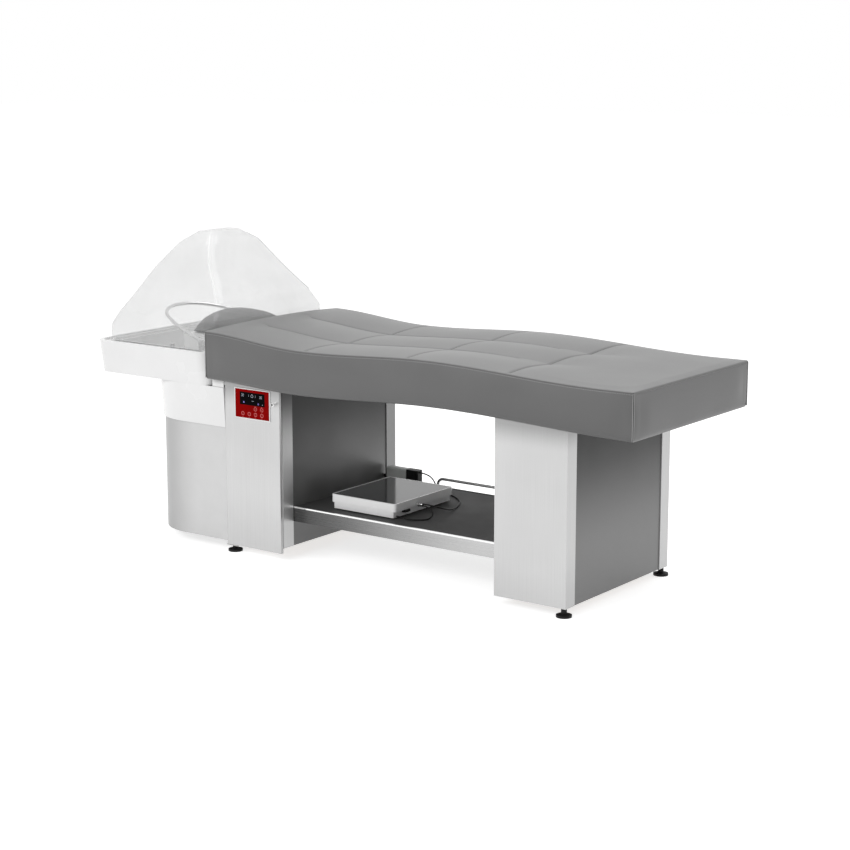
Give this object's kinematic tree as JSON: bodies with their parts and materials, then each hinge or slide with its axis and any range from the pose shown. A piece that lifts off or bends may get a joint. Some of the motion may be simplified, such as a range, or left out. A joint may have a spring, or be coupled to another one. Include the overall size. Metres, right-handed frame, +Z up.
{
  "type": "hair washing bed",
  "caption": "Salon hair washing bed: padded wavy couch on pedestals with a shelf between, and a basin with a clear hood at the head end.",
  "frame": {"origin": "on the floor, under the middle of the whole bed's bounding box", "axes": "+X from the head end with its basin to the foot end, +Y to the back of the bed, away from the door and its control panel, +Z up"},
  "size_m": [2.137, 0.685, 1.0247],
  "materials": {
    "leatherette": "satin, fine grain, grey",
    "foam_cover": "satin, pale grey",
    "bent_plywood": "painted grey, satin",
    "brushed_boards": "satin, upright brushing",
    "dark_panels": "satin, metallic dark grey",
    "packing_wood": "raw",
    "zinc_steel": "zinc plated",
    "silver_rail": "satin",
    "bright_trim": "polished",
    "dark_mat": "matte",
    "silver_column": "satin silver",
    "white_plastic": "gloss white",
    "clear_sheet": "clear, slightly milky",
    "white_ceramic": "gloss white",
    "chrome": "polished",
    "brass": "satin",
    "black_plastic": "matte black",
    "black_rubber": "matte black",
    "red_panel": "gloss red",
    "white_border": "gloss white",
    "display": "gloss black",
    "dark_glass": "gloss, dark",
    "grey_plastic": "light grey",
    "drain_plastic": "light grey",
    "tank_steel": "satin",
    "pump_iron": "painted dark"
  },
  "bodies": {
    "bed": {"adapter_lead": "black_rubber", "basin_tray": "white_plastic", "bowl_housing": "white_plastic", "circulation_pump": "pump_iron", "column_skirt": "silver_column", "deck_board": "bent_plywood", "deck_saddles": "packing_wood", "door_pivots": "zinc_steel", "drain_strainer": "chrome", "drain_trap": "drain_plastic", "foot_blocks": "zinc_steel", "foot_cross_plates": "packing_wood", "foot_front_board": "brushed_boards", "foot_inner_panel": "dark_panels", "foot_outer_panel": "dark_panels", "foot_rear_board": "brushed_boards", "head_cross_plates": "packing_wood", "head_front_frame": "brushed_boards", "head_inner_panel": "dark_panels", "head_outer_panel": "dark_panels", "head_pillow": "foam_cover", "head_rear_board": "brushed_boards", "heater_tank": "tank_steel", "lead_gland": "black_plastic", "loop_lead": "black_rubber", "mains_inlet": "black_plastic", "mattress": "leatherette", "pillow_bridge": "white_plastic", "power_adapter": "black_plastic", "power_strip": "grey_plastic", "pump_hose": "black_rubber", "shelf_board": "packing_wood", "shelf_guard_rail": "chrome", "shelf_mat": "dark_mat", "shelf_rails": "silver_rail", "shelf_trims": "bright_trim", "tray_bracket": "zinc_steel", "tray_fittings": "chrome", "warmer_case": "white_plastic", "warmer_feet": "black_rubber", "warmer_glass": "dark_glass", "warmer_socket": "chrome", "warmer_switch": "black_plastic", "wash_bowl": "white_ceramic", "water_inlet": "brass"},
    "door": {"service_door": "brushed_boards", "panel_frame": "white_border", "panel_plate": "red_panel", "display_glass": "display", "controller_housing": "black_plastic"},
    "lock": {"door_lock": "chrome"},
    "hood": {"hood_shell": "clear_sheet", "hood_hoop": "white_plastic"},
    "ring": {"water_ring": "chrome"},
    "valve": {"valve_knob": "chrome"},
    "levelling_foot_front": {"levelling_foot_foot_front": "black_plastic"},
    "levelling_foot_rear": {"levelling_foot_foot_rear": "black_plastic"},
    "levelling_head_front": {"levelling_foot_head_front": "black_plastic"},
    "levelling_head_rear": {"levelling_foot_head_rear": "black_plastic"}
  },
  "joints": [
    {"name": "door_hinge", "type": "hinge", "parent": "bed", "child": "door", "pos_m": [-0.4825, -0.306, 0.3], "axis": [0, 0, -1], "range_deg": [0, 90]},
    {"name": "lock_turn", "type": "hinge", "parent": "door", "child": "lock", "pos_m": [-0.2735, -0.306, 0.519], "axis": [0, 1, 0], "range_deg": [0, 90]},
    {"name": "hood_lift", "type": "slide", "parent": "bed", "child": "hood", "axis": [0, 0, 1], "range_m": [0, 0.15]},
    {"name": "ring_tilt", "type": "hinge", "parent": "bed", "child": "ring", "pos_m": [-0.6675, 0, 0.672], "axis": [0, 1, 0], "range_deg": [-2, 35]},
    {"name": "valve_turn", "type": "hinge", "parent": "bed", "child": "valve", "pos_m": [-0.7935, -0.228, 0.651], "axis": [0, 0, 1], "range_deg": [0, 90]},
    {"name": "level_head_front", "type": "slide", "parent": "bed", "child": "levelling_head_front", "axis": [0, 0, 1], "range_m": [-0.015, 0]},
    {"name": "level_head_rear", "type": "slide", "parent": "bed", "child": "levelling_head_rear", "axis": [0, 0, 1], "range_m": [-0.015, 0]},
    {"name": "level_foot_front", "type": "slide", "parent": "bed", "child": "levelling_foot_front", "axis": [0, 0, 1], "range_m": [-0.015, 0]},
    {"name": "level_foot_rear", "type": "slide", "parent": "bed", "child": "levelling_foot_rear", "axis": [0, 0, 1], "range_m": [-0.015, 0]}
  ]
}
